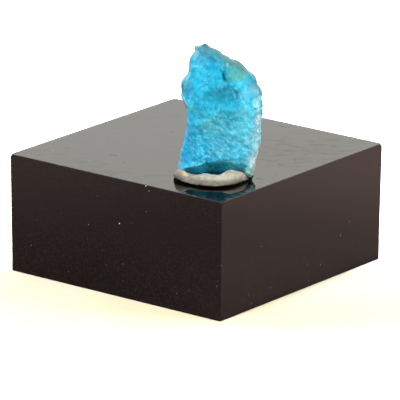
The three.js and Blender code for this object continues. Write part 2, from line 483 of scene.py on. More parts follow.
@dataclass(frozen=True)
class ApatiteFinish:
    """Clear blue-green stone, glassy where it is freshly broken and frosted low down."""

    effects: Effects
    stand: Stand
    # its colours; the last three are painted shade, for facets that face up, the underside and the
    # foot
    body: Colour = (0.012, 0.50, 0.78)
    bright: Colour = (0.035, 0.68, 1.0)
    deep: Colour = (0.004, 0.30, 0.50)
    pale: Colour = (0.42, 0.94, 1.0)
    frosted: Colour = (0.86, 0.98, 1.0)
    crown_shade: Colour = (0.03, 0.14, 0.16)
    underside: Colour = (0.002, 0.02, 0.03)
    shadow: Colour = (0.003, 0.004, 0.004)
    # how it bends light, throws it back and takes it up
    index: float = 1.63
    specular: float = 0.2
    gleam: Colour = (0.4, 0.85, 1.0)
    transmission: float = 0.5
    absorbed: Colour = (0.1, 0.8, 0.97)
    density: float = 120.0
    # how far noise pushes its patches about
    warp: Cloud = Cloud(1.1, 4.0)
    sway: float = 0.45
    # its clouds
    mottle: Cloud = Cloud(0.75, 3.0, 0.55, 0.4)
    bright_mottle: Span = (0.48, 0.68)
    deep_mottle: Span = (0.5, 0.32)
    deep_share: float = 0.7
    # its threads of healed cracks
    veined: Cloud = Cloud(0.9, 2.0, edge=(0.42, 0.62))
    vein_squeeze: Point = (1.0, 1.0, 0.6)
    vein_width: float = 0.05
    # its grain: slanting low down, and upright above
    streaked: Band = Band(UP, 9.0, 6.8)
    streaks: Cloud = Cloud(1.5, 4.0, 0.6, 0.3)
    streak_squeeze: Point = (0.8, 1.6, 2.4)
    streak_turn: float = math.radians(-48.0)
    threads: Cloud = Cloud(1.1, 4.0, 0.6, 0.3)
    thread_squeeze: Point = (2.4, 2.4, 0.9)
    grit: Cloud = Cloud(3.0, 1.5, 0.6)
    grit_share: float = 0.8
    light_grain: Span = (0.92, 1.14)
    light_share: Span = (0.15, 0.6)
    dark_grain: Span = (0.88, 0.66)
    dark_share: float = 0.45
    # where its strokes show, and how ragged they are
    front: Band = Band(DEEP, -0.2, -0.9)
    left_face: Span = (0.93, 0.82)
    blur: float = 0.15
    gaps: Cloud = Cloud(2.8, 2.0, edge=(0.48, 0.58))
    # painted shade: deeper colour on facets that face up, darker downward-facing surfaces low down,
    # and a black shadow at the foot
    crown_shaded: Band = Band(UP, 0.3, 0.85, (0.0, 0.5))
    turned_under: Band = Band(UP, -0.5, -0.8)
    under: tuple[Band, ...] = (
        Band(ACROSS, 2.6, 1.4),
        Band(ACROSS, -1.9, -0.6, (0.1, 1.0)),
        Band(UP, 2.4, 1.2, (0.0, 0.76)),
    )
    foot: Patch = Patch((4.4, -1.3, 0.0), (1.5, 3.0, 0.62), 0.3)
    # its frost, and the grain of its surface
    low_frost: Patch = Patch((0.8, -3.0, 4.0), (5.0, 6.0, 5.5), 0.4)
    low_share: float = 0.7
    rim_frost: Patch = Patch((5.0, -0.8, 4.8), (1.3, 2.6, 5.4), 0.3)
    frost_patches: Cloud = Cloud(1.4, 4.0, edge=(0.35, 0.65), share=(0.65, 1.0))
    crumb: Cloud = Cloud(3.8, 5.0, 0.65)
    crumb_chips: float = 2.6
    crumb_share: Span = (0.15, 1.0)
    crumb_height: float = 0.00007
    polish: Span = (0.3, 0.5)
    # its white chips, and its patches of colour, some of them painted shade and painted light at the
    # arch and painted highlights on the rim
    chipped_frost: Span = (0.7, 1.0)
    chipped: Patch = Patch((1.6, -1.8, 2.7), (3.4, 2.0, 0.6))
    chips: tuple[Specks, ...] = (Specks(2.6, 0.2, 0.22, 0.38), Specks(4.2, 0.24, 0.2, 0.38))
    tints: tuple[Tint, ...] = (
        Tint((0.3, -1.5, 13.8), (1.7, 4.0, 1.3), (0.02, 0.34, 0.52), 0.7),
        Tint((0.3, -1.0, 14.2), (1.6, 3.0, 0.8), (0.04, 0.24, 0.28), 0.7),
        Tint((-1.6, -1.0, 14.0), (1.4, 3.0, 1.4), (0.14, 0.55, 0.75), 0.45),
        Tint((4.7, -1.0, 10.2), (0.9, 2.6, 1.6), (0.24, 0.50, 0.48), 0.75),
        Tint((-2.9, -0.8, 10.9), (1.1, 3.0, 1.9), (0.12, 0.62, 0.86), 0.28),
        Tint((-2.7, -1.2, 8.2), (1.0, 3.0, 0.9), (0.12, 0.88, 1.0), 0.75),
        Tint((2.4, -0.8, 12.6), (2.0, 4.0, 1.4), (0.065, 0.31, 0.26), 0.9, 0.7),
        Tint((1.9, -0.9, 13.45), (1.4, 3.0, 0.75), (0.05, 0.19, 0.12), 0.9, 0.6),
        Tint((1.2, -1.3, 13.3), (0.35, 2.0, 0.35), (0.22, 0.55, 0.48), 0.8),
        Tint((2.5, -1.5, 12.2), (1.5, 4.0, 1.1), (0.09, 0.42, 0.36), 0.9),
        Tint((1.4, -1.5, 11.9), (0.9, 4.0, 0.9), (0.02, 0.30, 0.34), 0.75),
        Tint((3.8, -1.5, 10.6), (1.0, 4.0, 1.5), (0.13, 0.43, 0.56), 0.75),
        Tint((0.1, -2.0, 9.6), (3.1, 4.0, 1.5), (0.008, 0.40, 0.60), 0.8),
        Tint((0.8, -2.0, 9.5), (1.2, 3.0, 1.1), (0.008, 0.32, 0.46), 0.45),
        Tint((3.0, -1.8, 10.2), (0.9, 3.0, 0.9), (0.14, 0.75, 0.95), 0.7),
        Tint((-2.9, -1.0, 3.6), (1.4, 4.0, 4.2), (0.03, 0.42, 0.86), 0.6),
        Tint((0.0, -2.0, 6.6), (2.9, 3.0, 2.0), (0.10, 0.52, 0.52), 0.7),
        Tint((3.3, -2.0, 6.4), (1.7, 3.0, 4.4), (0.16, 0.86, 1.0), 0.8),
        Tint((-1.4, 0.0, 15.1), (1.7, 3.0, 1.2), (0.12, 0.27, 0.37), 0.9),
        # painted shade and painted light at the arch: darker in its hollow, and brighter where its
        # roof faces down and gets little light
        Tint((1.0, -1.4, 1.2), (3.0, 2.4, 1.25), (0.012, 0.30, 0.42), 0.85, 0.6),
        Tint((2.6, -1.6, 1.4), (2.1, 2.6, 1.1), (0.22, 0.98, 1.0), 0.95, 0.6),
        Tint((-0.3, -1.4, 1.2), (1.4, 2.4, 1.0), (0.02, 0.11, 0.13), 0.85, 0.7),
        Tint((1.9, -2.3, 2.35), (2.2, 2.0, 0.4), (0.25, 0.95, 1.0), 0.7),
        Tint((-3.9, -0.8, 1.9), (0.5, 2.0, 1.4), (0.2, 0.5, 0.65), 0.7),
        Tint((-2.0, -1.8, 1.0), (1.8, 2.6, 1.1), (0.07, 0.68, 1.0), 0.95, 0.5),
        Tint((4.8, -1.2, 4.8), (1.2, 2.6, 5.4), (0.42, 0.90, 0.97), 0.85, 0.7),
        Tint((4.9, -1.3, 7.0), (0.4, 1.6, 0.8), (0.95, 1.0, 1.0), 0.8),
        Tint((4.75, -1.3, 6.3), (0.3, 1.6, 0.35), (0.02, 0.20, 0.25), 0.8),
        Tint((4.4, -1.6, 5.6), (0.6, 1.6, 0.6), (0.32, 0.66, 0.88), 0.8),
        Tint((3.6, -2.3, 4.6), (0.5, 1.6, 0.7), (0.30, 0.85, 1.0), 0.8),
        # painted light: brighter on the right of the arch, which faces down and gets little light
        Tint((3.0, -1.4, 1.5), (1.1, 3.0, 1.2), (0.08, 0.55, 0.70), 0.8),
        # painted highlight: a pale patch low on the right-hand rim
        Tint((4.4, -1.1, 2.6), (1.5, 3.0, 1.5), (0.55, 0.92, 0.95), 0.8),
        Tint((4.2, -1.1, 0.9), (1.3, 3.0, 1.3), (0.36, 0.48, 0.36), 0.95, 0.6),
        # painted highlights: white spots low on the right-hand rim
        Tint((4.75, -0.9, 2.4), (0.55, 1.8, 0.55), (1.0, 1.0, 1.0), 0.95),
        Tint((4.15, -1.1, 2.1), (0.75, 1.8, 0.75), (0.85, 1.0, 0.98), 0.85),
        Tint((4.7, -1.4, 9.0), (0.75, 1.4, 0.9), (0.34, 0.92, 0.98), 0.85, 0.35),
        Tint((-2.3, 0.0, 14.5), (0.5, 2.0, 1.5), (0.35, 0.62, 0.62), 0.6),
        Tint((1.3, -2.2, 4.2), (3.4, 2.5, 3.2), (0.20, 0.72, 0.92), 0.35),
        Tint((1.3, -1.2, 13.9), (1.0, 3.0, 0.7), (0.05, 0.24, 0.24), 0.4),
        Tint((1.3, -2.0, 8.2), (1.4, 3.0, 1.0), (0.05, 0.42, 0.48), 0.45),
        Tint((-1.5, -1.6, 9.6), (1.2, 3.0, 1.0), (0.01, 0.38, 0.56), 0.4),
    )
    # its cracks and edges, with painted dark rims and painted highlights along the outline
    strokes: tuple[Stroke, ...] = (
        Stroke(((0.5, 12.9), (0.72, 12.54), (0.8, 12.27), (0.82, 11.97), (1.1, 11.62),
                (1.47, 11.2)), 0.06, (0.0, 0.04, 0.07), 0.8),
        Stroke(((2.0, 11.1), (2.5, 10.6), (2.8, 9.9), (3.2, 9.2), (3.45, 8.0)), 0.22,
               (0.4, 0.9, 1.0), 0.6, True),
        Stroke(((1.7, 10.9), (2.1, 10.2), (2.3, 9.5)), 0.2, (0.4, 0.9, 1.0), 0.45, True),
        Stroke(((-0.95, 2.35), (-0.75, 1.8)), 0.2, (0.02, 0.10, 0.08), 0.85),
        Stroke(((1.45, 14.1), (1.0, 13.6), (1.05, 13.0), (0.9, 12.6)), 0.22, (0.03, 0.16, 0.2), 0.6),
        # painted shade: a dark line in the undercut below the lip over the arch; the next is a painted
        # highlight along the lip
        Stroke(((-3.3, 1.35), (-2.2, 1.6), (-1.3, 2.15), (-0.9, 2.35)), 0.2, (0.01, 0.16, 0.24), 0.7),
        Stroke(((-3.3, 1.6), (-2.2, 1.85), (-1.2, 2.45)), 0.2, (0.1, 0.72, 0.92), 0.7),
        Stroke(((-2.6, 2.4), (-1.6, 2.9), (-0.9, 3.4)), 0.22, (0.01, 0.2, 0.5), 0.6),
        # painted shade: dark rims along the outline at the top and left, standing in for the dark
        # surroundings seen through the thin edge
        Stroke(((-1.2, 15.3), (-0.2, 14.9), (0.6, 14.45), (1.4, 14.0), (2.7, 13.25), (3.4, 12.6)),
               0.7, (0.055, 0.125, 0.11), 0.9, outline=True),
        Stroke(((3.4, 12.6), (4.2, 11.6), (4.7, 10.6)), 0.35, (0.05, 0.2, 0.18), 0.5, outline=True),
        Stroke(((-1.2, 15.5), (-0.2, 15.05), (0.6, 14.6), (1.4, 14.15), (2.8, 13.35), (3.6, 12.65),
                (4.4, 11.6), (4.85, 10.5), (5.05, 9.7)), 0.17, (0.02, 0.05, 0.06), 0.7, outline=True),
        Stroke(((-2.6, 14.1), (-2.9, 13.3), (-2.95, 12.5), (-3.5, 11.2), (-3.8, 9.9), (-3.2, 8.2)),
               0.18, (0.04, 0.12, 0.16), 0.7, outline=True),
        # painted highlights: pale and white lines along the left- and right-hand edges
        Stroke(((-3.2, 11.3), (-3.5, 10.3)), 0.14, (0.7, 0.97, 1.0), 0.7, True, True),
        Stroke(((-3.8, 9.8), (-3.5, 9.2), (-3.2, 8.6), (-3.1, 8.0)), 0.1, (0.8, 1.0, 1.0), 0.6,
               outline=True),
        Stroke(((-2.7, 13.1), (-2.95, 12.1), (-3.35, 11.3), (-3.6, 10.5)), 0.35,
               (0.25, 0.75, 0.9), 0.5, outline=True),
        Stroke(((-3.2, 7.0), (-3.25, 5.6), (-3.5, 4.3), (-3.75, 3.4), (-4.05, 2.3), (-4.3, 1.2)),
               0.25, (0.5, 0.95, 1.0), 0.6, outline=True),
        Stroke(((4.8, 8.9), (4.8, 7.0), (4.7, 5.5), (4.65, 4.0), (4.6, 2.6), (4.4, 1.8)),
               0.24, (0.95, 1.0, 1.0), 0.9, True, True),
    )

    def material(self) -> bpy.types.Material:
        """Builds the stone's material."""
        material, graph, output = start_material("apatite", self.body)
        point = specimen_point(graph, self.stand)
        moved = graph.vector("SUBTRACT", graph.swayed(point, self.warp, 2.0 * self.sway),
                             (self.sway,) * 3)
        colour = tinted(graph, self.effects, moved, self._mottled(graph, point), self.tints)
        colour = self._veined(graph, point, colour)
        colour = self._grained(graph, point, colour)
        colour = self._stroked(graph, point, moved, colour)
        colour = self._shaded(graph, point, colour)
        shader = graph.add("BsdfPrincipled", {
            "Base Color": colour,
            "Roughness": self._roughness(graph, point),
            "IOR": self.index,
            "Specular IOR Level": self.specular,
            "Specular Tint": self.gleam,
            "Transmission Weight": self.transmission,
            "Normal": self._normal(graph, point),
        })
        haze = graph.add("VolumeAbsorption", {"Color": self.absorbed, "Density": self.density})
        graph.feed(output.inputs["Surface"], shader.outputs["BSDF"])
        graph.feed(output.inputs["Volume"], haze.outputs["Volume"])
        return material

    def _mottled(self, graph: Graph, point: Socket) -> Socket:
        """The stone's own colour, brighter and deeper in clouds."""
        cloud = graph.noise(point, self.mottle)
        light = graph.mix(graph.ramp(cloud, *self.bright_mottle), self.body, self.bright)
        deep = graph.ramp(cloud, *self.deep_mottle, (0.0, self.deep_share))
        return graph.mix(deep, light, self.deep)

    def _veined(self, graph: Graph, point: Socket, colour: Socket) -> Socket:
        """Light and dark threads of healed cracks inside the stone."""
        drawn = graph.stretched(point, self.vein_squeeze)
        patchy = graph.clouds(point, self.veined)
        for vein, offset, scale, share in ((self.pale, 0.0, 1.3, 0.22), (self.deep, 9.0, 1.6, 0.35)):
            wave = graph.noise(graph.vector("ADD", drawn, (offset,) * 3), Cloud(scale, 2.0, 0.5, 0.6))
            away = graph.math("ABSOLUTE", graph.math("SUBTRACT", wave, 0.5))
            thread = graph.times(graph.ramp(away, self.vein_width, 0.0), patchy)
            colour = graph.tinge(thread, share, colour, vein)
        return colour

    def _grained(self, graph: Graph, point: Socket, colour: Socket) -> Socket:
        """Fine light and dark grain, drawn out into slanting streaks low down, and white chips."""
        low = self.streaked.mask(graph, point)
        slant = graph.mapped(point, Rotation=(0.0, self.streak_turn, 0.0))
        slanting = graph.noise(graph.stretched(slant, self.streak_squeeze), self.streaks)
        upright = graph.noise(graph.stretched(point, self.thread_squeeze), self.threads)
        fine = graph.add("Mix", {0: low, 2: upright, 3: slanting}, data_type="FLOAT").outputs[0]
        grit = graph.times(graph.noise(point, self.grit), self.grit_share)
        grain = graph.math("ADD", fine, grit)
        frost = self._frost(graph, point)
        light = graph.times(graph.ramp(grain, *self.light_grain),
                            graph.ramp(frost, 0.0, 1.0, self.light_share))
        dark = graph.times(graph.ramp(grain, *self.dark_grain), self.dark_share)
        colour = graph.mix(dark, graph.mix(light, colour, self.pale), self.deep)
        chipped = graph.most(graph.ramp(frost, *self.chipped_frost),
                             self.chipped.mask(graph, self.effects, point))
        for chips in self.chips:
            mask = chips.mask(graph, self.effects, point)
            colour = graph.mix(graph.times(mask, graph.times(chipped, chips.share)), colour,
                               self.frosted)
        return colour

    def _stroked(self, graph: Graph, point: Socket, moved: Socket, colour: Socket) -> Socket:
        """The cracks and edges on the broad face, with painted dark rims and painted highlights along
        its edges.
        """
        near = graph.add("Mix", {0: self.blur, 4: point, 5: moved}, data_type="VECTOR").outputs[1]
        flat = graph.stretched(near, (1.0, 0.0, 1.0))
        front = self.front.mask(graph, point)
        leftward = (-math.cos(self.stand.turn), -math.sin(self.stand.turn), 0.0)
        edge = Band(leftward, *self.left_face).mask(graph, graph.surface("Normal"))
        for stroke in self.strokes:
            mark = None
            for (x, z), (end_x, end_z) in zip(stroke.path, stroke.path[1:]):
                run = graph.group(self.effects.line, Point=flat, Start=(x, 0.0, z),
                                  End=(end_x, 0.0, end_z), Width=stroke.width)
                mark = run if mark is None else graph.most(mark, run)
            if stroke.broken:
                mark = graph.times(mark, graph.clouds(point, self.gaps))
            mark = graph.times(mark, edge if stroke.outline else front)
            colour = graph.tinge(mark, stroke.share, colour, stroke.colour)
        return colour

    def _shaded(self, graph: Graph, point: Socket, colour: Socket) -> Socket:
        """Painted shade: deeper colour where a narrow facet faces up, darker downward-facing surfaces
        low down, and a painted black shadow at the shard's foot.
        """
        normal = graph.surface("Normal")
        colour = graph.mix(self.crown_shaded.mask(graph, normal), colour, self.crown_shade)
        # painted shade on downward-facing surfaces low down, and a painted black shadow at the foot
        under = self.turned_under.mask(graph, normal)
        for band in self.under:
            under = graph.times(under, band.mask(graph, point))
        foot = self.foot.mask(graph, self.effects, point)
        return graph.mix(foot, graph.mix(under, colour, self.underside), self.shadow)

    def _frost(self, graph: Graph, point: Socket) -> Socket:
        """How frosted the surface is: 1 low down and on the rough right-hand side."""
        low = self.low_frost.mask(graph, self.effects, point)
        rim = self.rim_frost.mask(graph, self.effects, point)
        return graph.most(graph.times(low, self.low_share), rim)

    def _roughness(self, graph: Graph, point: Socket) -> Socket:
        """Roughness from nearly glassy to frosted."""
        frost = graph.times(self._frost(graph, point), graph.clouds(point, self.frost_patches))
        return graph.ramp(frost, 0.0, 1.0, self.polish)

    def _normal(self, graph: Graph, point: Socket) -> Socket:
        """Fine broken grain over the whole surface, stronger where it is frosted."""
        grain = graph.noise(point, self.crumb)
        chips = graph.add("TexVoronoi", {"Vector": point, "Scale": self.crumb_chips})
        height = graph.math("ADD", grain, graph.times(chips.outputs["Distance"], 0.5))
        amount = graph.ramp(self._frost(graph, point), 0.0, 1.0, self.crumb_share)
        return graph.bump(graph.times(height, amount), self.crumb_height)


@dataclass(frozen=True)
class PuttyFinish:
    """Pale mounting putty, dull, with handling stains, and painted shade on its outer wall and
    underside.
    """

    effects: Effects
    stand: Stand
    # its colours
    body: Colour = (0.26, 0.262, 0.215)
    shade: Colour = (0.155, 0.142, 0.115)
    wall_shade: Colour = (0.028, 0.02, 0.015)
    # its stains, and painted shade along its folds
    stains: tuple[Tint, ...] = (
        Tint((-4.2, -1.4, 0.9), (0.7, 0.9, 0.6), (0.52, 0.33, 0.30), 0.5, 0.9),
        Tint((-3.3, -2.6, 1.1), (0.7, 0.9, 0.6), (0.50, 0.42, 0.22), 0.45, 0.9),
        Tint((3.2, -2.4, 0.9), (0.7, 0.9, 0.7), (0.55, 0.34, 0.25), 0.5, 0.9),
        Tint((-0.4, -2.3, 0.85), (2.6, 1.0, 0.5), (0.16, 0.32, 0.30), 0.75, 0.9),
        Tint((0.3, -4.2, 0.7), (2.4, 1.3, 0.6), (0.20, 0.19, 0.155), 0.5, 0.9),
        Tint((-4.0, -1.6, 0.45), (0.8, 1.1, 0.45), (0.15, 0.125, 0.10), 0.5, 0.9),
        Tint((2.8, -2.8, 0.8), (0.8, 1.2, 0.6), (0.16, 0.14, 0.11), 0.5, 0.9),
        Tint((-0.2, -0.8, 0.45), (2.9, 1.5, 0.55), (0.02, 0.14, 0.19), 1.0, 0.4),
    )
    folds: tuple[tuple[Point, Point, float], ...] = (
        ((-2.1, -3.7, 0.75), (-0.25, -4.3, 0.66), 0.3),
        ((-0.25, -4.3, 0.66), (0.5, -4.6, 0.35), 0.3),
        ((0.5, -4.3, 0.75), (1.2, -3.7, 1.2), 0.3),
        ((-3.4, -2.9, 0.95), (-2.6, -3.4, 0.6), 0.25),
        ((2.7, -3.2, 0.6), (3.2, -2.4, 0.95), 0.25),
    )
    fold_shade_share: float = 0.75
    # its clouds, its stretched fibres and its grit
    clouds: Cloud = Cloud(0.8, 5.0, 0.6, edge=(0.38, 0.62))
    fibres: Cloud = Cloud(1.7, 5.0, 0.65, 0.4, (0.52, 0.36), (0.0, 0.6))
    fibre_squeeze: Point = (0.7, 1.2, 3.0)
    fibre_turn: float = math.radians(25.0)
    grit: Specks = Specks(3.5, 0.16, 0.12, 0.4)
    # its surface
    crumb: Cloud = Cloud(5.0, 5.0, 0.6)
    crumb_height: float = 0.00011
    rough_grain: Span = (0.6, 1.4)
    roughness: Span = (0.6, 0.8)
    index: float = 1.45
    # painted shade on the outer wall, outside its inner part: darker going down, darkest low down and
    # where it turns under
    inner: Patch = Patch((0.0, -0.6, 0.0), (4.0, 3.6, 9.0), 0.2)
    shade_going_down: Band = Band(UP, 0.95, 0.42, (0.0, 0.68))
    shade_at_bottom: Band = Band(UP, 0.24, 0.05, (0.0, 0.95))
    turned_under: Band = Band(UP, -0.15, -0.6, (0.0, 0.95))

    def material(self) -> bpy.types.Material:
        """Builds the putty's material."""
        material, graph, output = start_material("putty", self.body)
        point = specimen_point(graph, self.stand)
        colour = graph.mix(graph.clouds(point, self.clouds), self.shade, self.body)
        colour = tinted(graph, self.effects, point, colour, self.stains)
        turned = graph.mapped(point, Rotation=(0.0, self.fibre_turn, 0.0))
        pulled = graph.noise(graph.stretched(turned, self.fibre_squeeze), self.fibres)
        fibres = graph.ramp(pulled, *self.fibres.edge, self.fibres.share)
        colour = graph.mix(fibres, colour, self.shade)
        # painted shade along the folds
        for start, end, width in self.folds:
            fold = graph.group(self.effects.line, Point=point, Start=start, End=end, Width=width)
            colour = graph.tinge(fold, self.fold_shade_share, colour, self.shade)
        grit = self.grit.mask(graph, self.effects, point)
        colour = graph.tinge(grit, self.grit.share, colour, self.shade)
        colour = self._shade_wall(graph, point, colour)
        fine = graph.math("ADD", graph.noise(point, self.crumb), pulled)
        shader = graph.add("BsdfPrincipled", {
            "Base Color": colour,
            "Roughness": graph.ramp(fine, *self.rough_grain, self.roughness),
            "IOR": self.index,
            "Normal": graph.bump(fine, self.crumb_height),
        })
        graph.feed(output.inputs["Surface"], shader.outputs["BSDF"])
        return material

    def _shade_wall(self, graph: Graph, point: Socket, colour: Socket) -> Socket:
        """Painted shade on the outer wall, darker going down, and darkest low down and where it turns
        under.
        """
        outer = graph.math("SUBTRACT", 1.0, self.inner.mask(graph, self.effects, point))
        low = graph.most(self.shade_at_bottom.mask(graph, point),
                         self.turned_under.mask(graph, graph.surface("Normal")))
        for mask in (self.shade_going_down.mask(graph, point), low):
            colour = graph.mix(graph.times(mask, outer), colour, self.wall_shade)
        return colour


@dataclass(frozen=True)
class Scratch:
    """One family of short, fine scratches on the block's top.

    Attributes:
        turn: the way they run, in degrees from the block's front.
        scale: how many of their cells there are to the millimetre, across them.
        stretch: how many times as long as they are wide their cells are.
        width: their half width, as a share of a cell.
        share: how many of the cells have one.
    """

    turn: float
    scale: float
    stretch: float
    width: float
    share: float


@dataclass(frozen=True)
class Grain:
    """One grain of dust on the block.

    Attributes:
        centre: where it lies, in millimetres.
        radius: its radius, in millimetres.
        share: how strongly it shows.
    """

    centre: Point
    radius: float
    share: float


@dataclass(frozen=True)
class AcrylicFinish:
    """Black acrylic, polished, with fine scratches and dust."""

    effects: Effects
    # its colours, and how strongly it bends light
    body: Colour = (0.0012, 0.0007, 0.0006)
    dust: Colour = (0.75, 0.72, 0.68)
    index: float = 1.45
    # dust: loose specks, and grains that are set out one by one
    specks: tuple[Specks, ...] = (Specks(0.9, 0.05, 0.12, 0.3), Specks(1.7, 0.09, 0.07, 0.07))
    grains: tuple[Grain, ...] = (
        Grain((0.74, -15.08, 8.68), 0.085, 1.0),
        Grain((-3.72, -15.07, 7.70), 0.075, 0.25),
        Grain((-3.88, -15.06, 5.89), 0.09, 0.04),
        Grain((4.5, -15.1, 13.78), 0.1, 0.6),
        Grain((4.95, -15.1, 13.3), 0.1, 0.25),
        Grain((14.6, -15.05, 4.64), 0.09, 0.04),
        Grain((14.47, -15.04, 4.03), 0.1, 0.09),
        Grain((15.06, 9.05, 5.96), 0.11, 0.08),
        Grain((15.05, 7.37, 4.69), 0.14, 0.09),
        Grain((15.07, -7.62, 7.0), 0.12, 0.05),
        Grain((15.03, 1.14, 2.74), 0.11, 0.06),
        Grain((15.02, 3.63, 2.13), 0.13, 0.09),
        Grain((15.01, 1.4, 0.78), 0.1, 0.08),
        Grain((15.02, -5.78, 1.73), 0.12, 0.08),
        Grain((15.02, -9.87, 1.92), 0.1, 0.09),
        Grain((15.01, -9.28, 0.72), 0.11, 0.08),
        Grain((15.06, -14.94, 6.56), 0.1, 0.07),
        Grain((-15.08, -4.2, 9.1), 0.08, 1.0),
        Grain((-15.03, 8.3, 4.0), 0.08, 0.35),
        Grain((-15.02, 2.5, 2.2), 0.12, 0.15),
        Grain((-6.5, 15.05, 5.2), 0.08, 0.6),
        Grain((9.0, 15.08, 8.8), 0.1, 0.25),
    )
    # brown smears: a clear coat
    smeared: Colour = (0.89, 0.862, 0.84)
    coat_roughness: float = 0.2
    coat_index: float = 1.05
    smears: Cloud = Cloud(0.95, 5.0, 0.65, 0.2, (0.46, 0.66), (0.12, 1.0))
    smear_turn: float = math.radians(37.0)
    smear_squeeze: Point = (0.5, 1.0, 1.0)
    smear_right: Patch = Patch((10.0, 7.0, 14.0), (10.0, 11.0, 9.0))
    smear_front: Band = Band(DEEP, -9.0, -14.0, (0.15, 0.7))
    # the film of dust on its sides, and its worn rim
    film: Cloud = Cloud(5.5, 2.0, 0.7, edge=(0.45, 0.7), share=(0.0, 0.012))
    wear: Cloud = Cloud(1.6, 4.0, 0.7, edge=(0.5, 0.62), share=(0.0, 0.3))
    wear_share: float = 0.1
    rim: Span = (14.1, 14.8)
    # where its polish is hazy
    haze: Cloud = Cloud(0.42, 5.0, 0.7, edge=(0.53, 0.68), share=(0.012, 0.16))
    # which way its top faces, and its sides
    top: Band = Band(UP, 0.5, 0.9)
    sides: Band = Band(UP, 0.9, 0.5)
    # its scratches
    scratches: tuple[Scratch, ...] = (
        Scratch(35.0, 1.4, 12.0, 0.06, 0.35),
        Scratch(-18.0, 1.1, 9.0, 0.06, 0.5),
        Scratch(78.0, 1.3, 8.0, 0.06, 0.4),
        Scratch(5.0, 0.7, 8.0, 0.06, 0.6),
        Scratch(-60.0, 0.8, 7.0, 0.07, 0.5),
    )
    bend: Cloud = Cloud(0.12, 2.0)
    bend_reach: float = 2.4
    scratch_depth: float = 0.00003
    scratch_roughness: float = 0.5

    def material(self) -> bpy.types.Material:
        """Builds the block's material."""
        material, graph, output = start_material("black_acrylic", self.body)
        point = graph.mapped(graph.surface("Object"), "TEXTURE", Scale=(MILLIMETRE,) * 3)
        top = self.top.mask(graph, graph.surface("Normal"))
        marks = graph.times(self._marks(graph, point), top)
        across = graph.math("ABSOLUTE", graph.dot(point, ACROSS))
        along = graph.math("ABSOLUTE", graph.dot(point, DEEP))
        rim = graph.times(graph.ramp(graph.most(across, along), *self.rim), top)
        worn = graph.times(graph.clouds(point, self.wear), rim)
        hazy = graph.clouds(point, self.haze)
        matt = graph.times(marks, self.scratch_roughness)
        shader = graph.add("BsdfPrincipled", {
            "Base Color": self._dusty(graph, point, worn),
            "Roughness": graph.math("ADD", matt, graph.math("ADD", hazy, worn)),
            "IOR": self.index,
            "Normal": graph.bump(marks, -self.scratch_depth),
            "Coat Weight": graph.times(self._smears(graph, point), top),
            "Coat Roughness": self.coat_roughness,
            "Coat IOR": self.coat_index,
            "Coat Tint": self.smeared,
        })
        graph.feed(output.inputs["Surface"], shader.outputs["BSDF"])
        return material

    def _dusty(self, graph: Graph, point: Socket, worn: Socket) -> Socket:
        """The black, with a thin film of dust on its sides, specks, grains and a pale worn rim."""
        sides = self.sides.mask(graph, graph.surface("Normal"))
        film = graph.times(graph.clouds(point, self.film), sides)
        colour = graph.mix(film, self.body, self.dust)
        for specks in self.specks:
            mask = specks.mask(graph, self.effects, point)
            colour = graph.tinge(mask, specks.share, colour, self.dust)
        for grain in self.grains:
            mask = Patch(grain.centre, (grain.radius,) * 3, 0.5).mask(graph, self.effects, point)
            colour = graph.tinge(mask, grain.share, colour, self.dust)
        return graph.tinge(worn, self.wear_share, colour, self.dust)

    def _smears(self, graph: Graph, point: Socket) -> Socket:
        """Thin brown smears, in streaks at the right-hand corner and along the front."""
        turned = graph.mapped(point, "TEXTURE", Rotation=(0.0, 0.0, self.smear_turn))
        streaks = graph.clouds(graph.stretched(turned, self.smear_squeeze), self.smears)
        right = self.smear_right.mask(graph, self.effects, point)
        return graph.times(streaks, graph.most(right, self.smear_front.mask(graph, point)))

    def _marks(self, graph: Graph, point: Socket) -> Socket:
        """The fine scratches, each bent a little."""
        bent = graph.swayed(point, self.bend, self.bend_reach)
        marks = None
        for scratch in self.scratches:
            turned = graph.mapped(bent, Location=(scratch.turn, scratch.turn, 0.0),
                                  Rotation=(0.0, 0.0, math.radians(scratch.turn)),
                                  Scale=(1.0 / scratch.stretch, 1.0, 1.0))
            lines = graph.group(self.effects.specks, Point=turned, Scale=scratch.scale,
                                Size=scratch.width, Share=scratch.share)
            marks = lines if marks is None else graph.most(marks, lines)
        return marks


# ---------------------------------------------------------------- meshes


def add_object(name: str, data: bpy.types.ID) -> bpy.types.Object:
    """Makes an object and adds it to the scene."""
    made = bpy.data.objects.new(name, data)
    bpy.context.scene.collection.objects.link(made)
    return made


def fine_copy(node: bpy.types.Object, to_local: Matrix, voxel: float) -> Shape:
    """Takes a fine, even copy of a frame node's surface.

    Args:
        node: the frame's object.
        to_local: the transform from the row's metres to the copy's millimetres.
        voxel: the copy's grid, in millimetres.

    Returns:
        The copy, in millimetres.
    """
    rough = bmesh.new()
    rough.from_mesh(node.data)
    rough.transform(to_local)
    bmesh.ops.remove_doubles(rough, verts=rough.verts, dist=0.001)
    mesh = bpy.data.meshes.new("rough")
    rough.to_mesh(mesh)
    rough.free()
    holder = add_object("rough", mesh)
    remesh = holder.modifiers.new("even", "REMESH")
    remesh.mode = "VOXEL"
    remesh.voxel_size = voxel
    evened = holder.evaluated_get(bpy.context.evaluated_depsgraph_get())
    fine = bmesh.new()
    fine.from_mesh(evened.to_mesh())
    evened.to_mesh_clear()
    bpy.data.objects.remove(holder)
    bpy.data.meshes.remove(mesh)
    fine.normal_update()
    return fine


